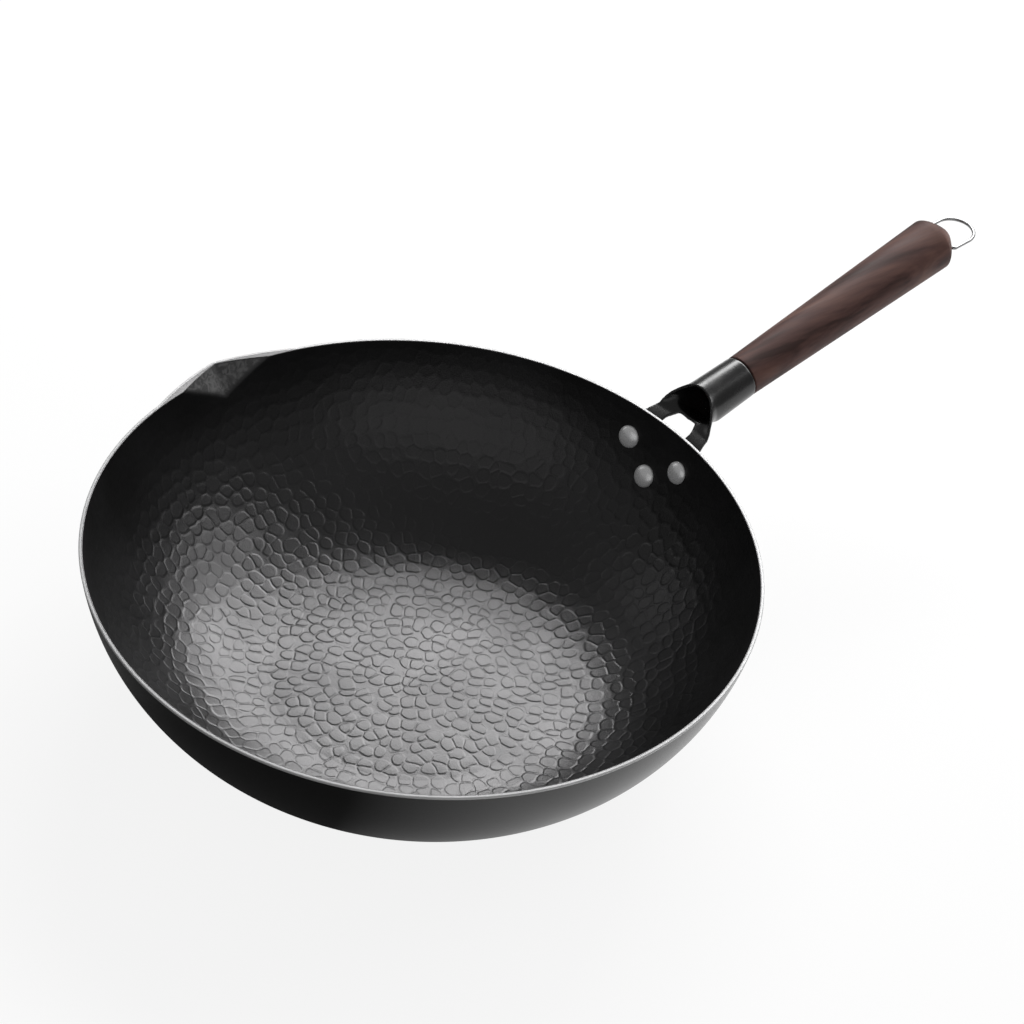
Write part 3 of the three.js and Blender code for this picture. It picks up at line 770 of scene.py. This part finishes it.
def bailPiece():
    # a round wire swept along a flat path: tucked end, bend, leg, half circle and the mirror image back
    butt, turn = buttRadius(bail["inset"]), bail["bend"]
    half = butt + bail["sideGap"] + bail["wire"]
    t = np.linspace(0, 1, 40)
    tuck = np.stack([0 * t, -(butt - bail["tuck"]) - t * (half - turn - butt + bail["tuck"])], 1)[::4]
    q = np.linspace(0, math.pi / 2, 16)[1:]
    bend = np.stack([turn * (1 - np.cos(q)), -(half - turn) - turn * np.sin(q)], 1)
    leg = np.stack([turn + t * (bail["leg"] - turn), 0 * t - half], 1)[4::4]
    q = np.linspace(-math.pi / 2, 0, 40)[1:]
    loop = np.stack([bail["leg"] + half * np.cos(q), half * np.sin(q)], 1)
    side = np.concatenate([tuck, bend, leg, loop])
    path = np.concatenate([side, side[-2::-1] * [1, -1]])
    run = unit(np.gradient(path, axis=0))
    out = np.stack([run[:, 1], -run[:, 0]], 1)
    tilt, sides = grip["tilt"] - bail["drop"], bail["sides"]
    along = np.array([math.cos(tilt), 0, math.sin(tilt)])
    above = np.array([-along[2], 0, along[0]])
    plane = np.array([along, [0, 1.0, 0]])
    pivot = gripStart + gripAxis3 * (grip["length"] - bail["inset"])
    angle = fullTurn(sides)[None, :, None]
    ring = bail["wire"] * (np.cos(angle) * (out @ plane)[:, None] + np.sin(angle) * above)
    points = pivot + (path @ plane)[:, None] + ring
    index = np.arange(sides)
    ends = np.stack([index, index[::-1] + (len(path) - 1) * sides])
    return makeMesh("bail_wire", points, [gridFaces(len(path), sides, True)[:, ::-1], ends])


bailWire = bailPiece()
print("turned pieces and bail made")


# materials
def newMaterial(name):
    # an empty node material, with its nodes, links and shader at hand
    material = bpy.data.materials.new(name)
    material.use_nodes = True
    nodes, links = material.node_tree.nodes, material.node_tree.links
    return material, nodes, links, nodes["Principled BSDF"]


def node(nodes, kind, **values):
    # a node of a kind; each value goes to the socket of that name, or else to the node's own setting
    made = nodes.new(kind)
    for key, value in values.items():
        if key in made.inputs:
            made.inputs[key].default_value = value
        else:
            setattr(made, key, value)
    return made


def ramp(nodes, links, source, stops):
    # colour by straight steps between stops of (place, colour)
    made = nodes.new("ShaderNodeValToRGB")
    elements = made.color_ramp.elements
    while len(elements) < len(stops):
        elements.new(0.5)
    for element, (place, colour) in zip(elements, stops):
        element.position = place
        element.color = (*colour, 1)
    links.new(source, made.inputs["Fac"])
    return made.outputs["Color"]


def remap(nodes, links, source, low, high, toLow, toHigh):
    # the range from low to high carried evenly to another range, and clamped there
    made = node(nodes, "ShaderNodeMapRange")
    for key, value in zip(("From Min", "From Max", "To Min", "To Max"), (low, high, toLow, toHigh)):
        made.inputs[key].default_value = value
    links.new(source, made.inputs["Value"])
    return made.outputs["Result"]


def objectNoise(nodes, links, scale, detail=4, stretch=None, turn=None, distortion=0.0):
    # noise in the piece's own coordinates, turned and stretched where that is given
    coordinates = nodes.new("ShaderNodeTexCoord").outputs["Object"]
    if stretch:
        mapping = node(nodes, "ShaderNodeMapping", vector_type="TEXTURE")
        mapping.inputs["Rotation"].default_value = turn
        mapping.inputs["Scale"].default_value = stretch
        links.new(coordinates, mapping.inputs["Vector"])
        coordinates = mapping.outputs["Vector"]
    made = node(nodes, "ShaderNodeTexNoise", Scale=scale, Detail=detail, Distortion=distortion)
    links.new(coordinates, made.inputs["Vector"])
    return made.outputs["Fac"]


def combine(nodes, links, operation, *values):
    # a sum or product of sockets and plain numbers, in the order of the node's inputs
    made = node(nodes, "ShaderNodeMath", operation=operation)
    for socket, value in zip(made.inputs, values):
        if isinstance(value, float):
            socket.default_value = value
        else:
            links.new(value, socket)
    return made.outputs[0]


def addBump(nodes, links, shader, height, strength, distance):
    # the shader's normal tilted by the slope of a height
    made = node(nodes, "ShaderNodeBump", Strength=strength, Distance=distance)
    links.new(height, made.inputs["Height"])
    links.new(made.outputs["Normal"], shader.inputs["Normal"])


patches = (0.3, 0.7)  # the part of a noise's range that is spread over two values
insideLook = {
    "shades": ((0.0064, 0.0064, 0.0064), (0.0096, 0.0096, 0.01)),
    "pressed": (0.110, 0.110, 0.110, 1),  # lighter grey of the lip's pressed facets
    "rough": (0.29, 0.36),
    "ior": 1.53,
    "tint": (1.0, 0.985, 1.0, 1),
    "patch": (26, 5),  # scale and detail of the slow noise
    "marks": (260, 3),
    "markStops": ((0.42, (0.3, 0.3, 0.3)), (0.6, (1, 1, 1))),
    "fine": (1500, 3),
    "grain": 0.26,
}
outsideLook = {
    "shades": ((0.0034, 0.0034, 0.0034), (0.0044, 0.0044, 0.0044)),
    "rough": (0.19, 0.25),
    "ior": 1.58,
    "patch": (18, 6),
    "fine": (1100, 3),
    "grain": 0.12,
}
bracketLook = {
    "shades": ((0.0048, 0.0048, 0.0048), (0.0072, 0.0072, 0.0072)),
    "rough": (0.22, 0.32),
    "ior": 1.53,
    "patch": (60, 5),
    "fine": (900, 3),
    "grain": 0.10,
}
paintDepth = 0.2 * mm  # of the finest relief
bareSteel = {"patch": (90, 4), "fine": (700, 4), "grain": 0.05, "depth": 0.1 * mm}
rivetLook = {"shades": ((0.882, 0.882, 0.882), (0.98, 0.98, 0.99)), "rough": (0.24, 0.32), "metal": 0.4}
rimLook = {"shades": ((0.45, 0.45, 0.45), (0.50, 0.50, 0.505)), "rough": (0.36, 0.48), "metal": 0.12}
wireLook = {"shades": ((0.27, 0.27, 0.27), (0.30, 0.30, 0.303)), "rough": (0.20, 0.32), "metal": 1.0}
woodLook = {
    "stops": ((0.50, (0.033, 0.0150, 0.0125)), (0.66, (0.073, 0.035, 0.030)), (0.84, (0.115, 0.059, 0.047))),
    "rough": (0.50, 0.64),
    "ior": 1.28,
    "lean": -0.25,  # turn of the grain off the grip
    "bands": (95, 3, (7, 1, 1)),  # scale, detail and stretch
    "pores": (520, 4, (14, 1, 1)),
    "bandBend": 0.6,
    "poreShare": 0.30,
    "grain": 0.18,
    "depth": 0.3 * mm,
}


def paintMaterial(name, look):
    # black coat: slow noise moves its shade and its gloss between two values, fine noise gives it a grain
    material, nodes, links, shader = newMaterial(name)
    broad = objectNoise(nodes, links, *look["patch"])
    shade = ramp(nodes, links, broad, list(zip(patches, look["shades"])))
    links.new(shade, shader.inputs["Base Color"])
    links.new(remap(nodes, links, broad, *patches, *look["rough"]), shader.inputs["Roughness"])
    shader.inputs["IOR"].default_value = look["ior"]
    addBump(nodes, links, shader, objectNoise(nodes, links, *look["fine"]), look["grain"], paintDepth)
    return material, nodes, links, shader, shade


def insideMaterial(look):
    # the black coat, mixed with a lighter grey by broken marks where the surface is pressed
    material, nodes, links, shader, shade = paintMaterial("hammered_black", look)
    marks = ramp(nodes, links, objectNoise(nodes, links, *look["marks"], distortion=1.5), look["markStops"])
    pressed = node(nodes, "ShaderNodeAttribute", attribute_name="pressed").outputs["Fac"]
    colour = node(nodes, "ShaderNodeMix", data_type="RGBA")
    links.new(combine(nodes, links, "MULTIPLY", marks, pressed), colour.inputs["Factor"])
    links.new(shade, colour.inputs["A"])
    colour.inputs["B"].default_value = look["pressed"]
    links.new(colour.outputs["Result"], shader.inputs["Base Color"])
    shader.inputs["Specular Tint"].default_value = look["tint"]
    return material


def steelMaterial(name, look):
    # bare metal: slow noise moves its shade, finer noise its gloss and its relief
    material, nodes, links, shader = newMaterial(name)
    fine = objectNoise(nodes, links, *bareSteel["fine"])
    broad = objectNoise(nodes, links, *bareSteel["patch"])
    links.new(ramp(nodes, links, broad, list(zip(patches, look["shades"]))), shader.inputs["Base Color"])
    links.new(remap(nodes, links, fine, *patches, *look["rough"]), shader.inputs["Roughness"])
    shader.inputs["Metallic"].default_value = look["metal"]
    addBump(nodes, links, shader, fine, bareSteel["grain"], bareSteel["depth"])
    return material


def woodMaterial(look):
    # long grain: noise drawn out along a line a little off the grip, with fine pores and slow colour bands
    material, nodes, links, shader = newMaterial("dark_wood")
    lean = (0, -grip["tilt"], look["lean"])
    bands = objectNoise(nodes, links, *look["bands"], lean, look["bandBend"])
    pores = objectNoise(nodes, links, *look["pores"], lean)
    figure = combine(nodes, links, "MULTIPLY_ADD", pores, look["poreShare"], bands)
    links.new(ramp(nodes, links, figure, look["stops"]), shader.inputs["Base Color"])
    links.new(remap(nodes, links, pores, *patches, *look["rough"]), shader.inputs["Roughness"])
    shader.inputs["IOR"].default_value = look["ior"]
    addBump(nodes, links, shader, pores, look["grain"], look["depth"])
    return material


hammeredBlack = insideMaterial(insideLook)
satinBlack = paintMaterial("satin_black", outsideLook)[0]
bracketBlack = paintMaterial("bracket_black", bracketLook)[0]
rimSteel = steelMaterial("ground_rim", rimLook)
rivetSteel = steelMaterial("rivet_steel", rivetLook)
wireSteel = steelMaterial("wire_steel", wireLook)
darkWood = woodMaterial(woodLook)


def dress(obj, material, slot, *replaced):
    # finish and body of a piece, and the nodes it stands for; its slot is not used
    obj.data.materials.clear()
    obj.data.materials.append(material)
    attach(obj, "bail" if obj is bailWire else "wok")
    if replaced:
        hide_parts(*replaced)


dress(insidePieces[0], hammeredBlack, "pan_steel", "pan_body")
for obj in insidePieces[1:] + [panEdge]:
    dress(obj, hammeredBlack, "pan_steel")
dress(panOutside, satinBlack, "pan_steel")
dress(panRim, rimSteel, "pan_steel")
dress(bracketSheet, bracketBlack, "bracket_paint", "handle_bracket")
for name, obj in rivetPieces.items():
    dress(obj, rivetSteel, "rivet_steel", name)
dress(gripWood, darkWood, "grip_wood", "handle_grip")
dress(screwVisual, rivetSteel, "rivet_steel", "socket_screw")
dress(bailWire, wireSteel, "wire_steel", "hang_ring")
print("materials set")


# stage, light and camera
cameraSet = {
    "pixels": 1024,  # width and height of the picture
    "focalPixels": 3000,
    "turn": math.radians(47.2),  # grip's direction against the picture plane
    "elevation": math.radians(40.458),
    "roll": math.radians(7.674),
    "distance": 1.39954,
    "aside": 0.04070,  # to its own right and up, off the middle of the rim
    "lift": 0.01711,
}
lights = {  # azimuth counted from the camera to the right, elevation, distance, size, power
    "back_softbox": (172.3, 40.8, 1.5, (1.13, 0.42), 18.3),
    "low_softbox": (168, 27.5, 1.5, (0.90, 0.30), 2.8),
    "side_softbox": (128, 39, 1.5, (1.10, 0.66), 8.4),
    "left_strip": (-112, 18, 1.5, (0.30, 1.10), 0.9),
    "front_panel": (-5, 24, 1.7, (2.6, 1.2), 3.6),
}
lightAim = np.array([30 * mm, 0, 50 * mm])
surroundings = {"level": 0.20, "glossy": 0.08}  # brightness, and share of white in reflections
floorSet = {
    "radius": 4.0,
    "sides": 96,
    "drop": 0.4 * mm,
    "rough": 0.8,
    "white": 0.87,  # share of plain white that the camera sees
    "from": -0.025,  # painted shade: the floor's colour is dim to the left of the camera, pale to the right, between these two
    "to": 0.09,
    # painted shade: the floor's colour from its dim left to its pale right
    "colour": (0.18, 0.95),
    "glossy": (0.0, 0.46),  # share of white in reflections, graded the same way: a painted reflection, bright to the right
}


def cameraFrame(turn, elevation, roll):
    # right, up and back of a camera that looks down at the pan, rolled about its own axis
    right = np.array([math.cos(turn), -math.sin(turn), 0])
    away = np.array([math.sin(turn), math.cos(turn), 0])
    upward = np.array([0, 0, 1.0])
    up = math.sin(elevation) * away + math.cos(elevation) * upward
    back = -math.cos(elevation) * away + math.sin(elevation) * upward
    c, s = math.cos(roll), math.sin(roll)
    return c * right + s * up, -s * right + c * up, back


def placed(name, data, right, up, back, place):
    # an object for a camera or lamp, with its axes and place as the columns of its matrix
    obj = bpy.data.objects.new(name, data)
    bpy.context.scene.collection.objects.link(obj)
    matrix = np.eye(4)
    matrix[:3] = np.stack([right, up, back, place], 1)
    obj.matrix_world = Matrix(matrix.tolist())
    return obj


def makeCamera():
    # stands back from the middle of the rim by the distance, moved aside and up in its own picture plane
    s = cameraSet
    right, up, back = cameraFrame(s["turn"], s["elevation"], s["roll"])
    data = bpy.data.cameras.new("camera")
    data.sensor_width = 36
    data.lens = s["focalPixels"] * data.sensor_width / s["pixels"]
    data.clip_start, data.clip_end = 0.01, 50
    place = np.array([0, 0, pan["height"]]) + right * s["aside"] + up * s["lift"] + back * s["distance"]
    bpy.context.scene.camera = placed("camera", data, right, up, back, place)


def makeLight(name, azimuth, elevation, distance, size, power):
    # a soft box that looks at the middle of the pan; azimuth runs round from the camera
    a, e = math.radians(azimuth) - cameraSet["turn"], math.radians(elevation)
    back = np.array([math.sin(a) * math.cos(e), -math.cos(a) * math.cos(e), math.sin(e)])
    data = bpy.data.lights.new(name, "AREA")
    data.shape, data.size, data.size_y = "RECTANGLE", size[0], size[1]
    data.energy = power
    right = unit(np.cross([0, 0, 1.0], back))
    placed(name, data, right, np.cross(back, right), back, lightAim + back * distance)


def whiteShare(nodes, links, camera, glossy):
    # two shares of white: one for what the camera sees, one for reflections and for what is seen through glass
    path = nodes.new("ShaderNodeLightPath").outputs
    bent = combine(nodes, links, "MAXIMUM", path["Is Glossy Ray"], path["Is Transmission Ray"])
    weak = combine(nodes, links, "MULTIPLY", bent, glossy)
    return combine(nodes, links, "MULTIPLY_ADD", path["Is Camera Ray"], camera, weak)


def makeFloor():
    # a wide pale disc under the pan that the camera sees as one white with a faint shadow; for other rays its colour
    # # and its share of white grow evenly across the pan, by the distance to the camera's right, as painted shade on
    # its left and a painted reflection on its right, which the pan's outside reflects
    f = floorSet
    angle = fullTurn(f["sides"])
    points = np.stack([f["radius"] * np.cos(angle), f["radius"] * np.sin(angle), 0 * angle - f["drop"]], 1)
    obj = makeMesh("floor", points, [np.arange(f["sides"])[None, :]])
    material, nodes, links, shader = newMaterial("pale_floor")
    aside = node(nodes, "ShaderNodeVectorMath", operation="DOT_PRODUCT")
    links.new(nodes.new("ShaderNodeTexCoord").outputs["Object"], aside.inputs[0])
    aside.inputs[1].default_value = (math.cos(cameraSet["turn"]), -math.sin(cameraSet["turn"]), 0)
    # painted shade: for rays other than the camera's, the floor is dark to the left and pale to the right, so the
    # pan's outside shows dark at front-left
    paintedShadeTone = node(nodes, "ShaderNodeMix", data_type="FLOAT")
    links.new(nodes.new("ShaderNodeLightPath").outputs["Is Camera Ray"], paintedShadeTone.inputs["Factor"])
    links.new(remap(nodes, links, aside.outputs["Value"], f["from"], f["to"], *f["colour"]), paintedShadeTone.inputs["A"])
    paintedShadeTone.inputs["B"].default_value = f["colour"][1]
    links.new(paintedShadeTone.outputs[0], shader.inputs["Base Color"])
    shader.inputs["Roughness"].default_value = f["rough"]
    # painted reflection: white that only reflections see, none on the left and growing to the right
    paintedReflectionShare = remap(nodes, links, aside.outputs["Value"], f["from"], f["to"], *f["glossy"])
    white = node(nodes, "ShaderNodeEmission")
    mix = nodes.new("ShaderNodeMixShader")
    links.new(whiteShare(nodes, links, f["white"], paintedReflectionShare), mix.inputs["Fac"])
    links.new(shader.outputs[0], mix.inputs[1])
    links.new(white.outputs[0], mix.inputs[2])
    links.new(mix.outputs[0], nodes["Material Output"].inputs["Surface"])
    obj.data.materials.append(material)


def makeWorld():
    # even dim surroundings that the camera itself sees as white
    world = bpy.data.worlds.new("studio")
    bpy.context.scene.world = world
    world.use_nodes = True
    nodes, links = world.node_tree.nodes, world.node_tree.links
    level = node(nodes, "ShaderNodeMix", data_type="FLOAT")
    links.new(whiteShare(nodes, links, 1.0, surroundings["glossy"]), level.inputs["Factor"])
    level.inputs["A"].default_value = surroundings["level"]
    level.inputs["B"].default_value = 1.0
    links.new(level.outputs[0], nodes["Background"].inputs["Strength"])
    nodes["Background"].inputs["Color"].default_value = (1, 1, 1, 1)


makeCamera()
for name, values in lights.items():
    makeLight(name, *values)
makeFloor()
makeWorld()
bpy.context.scene.view_settings.view_transform = "Standard"
print("stage set")
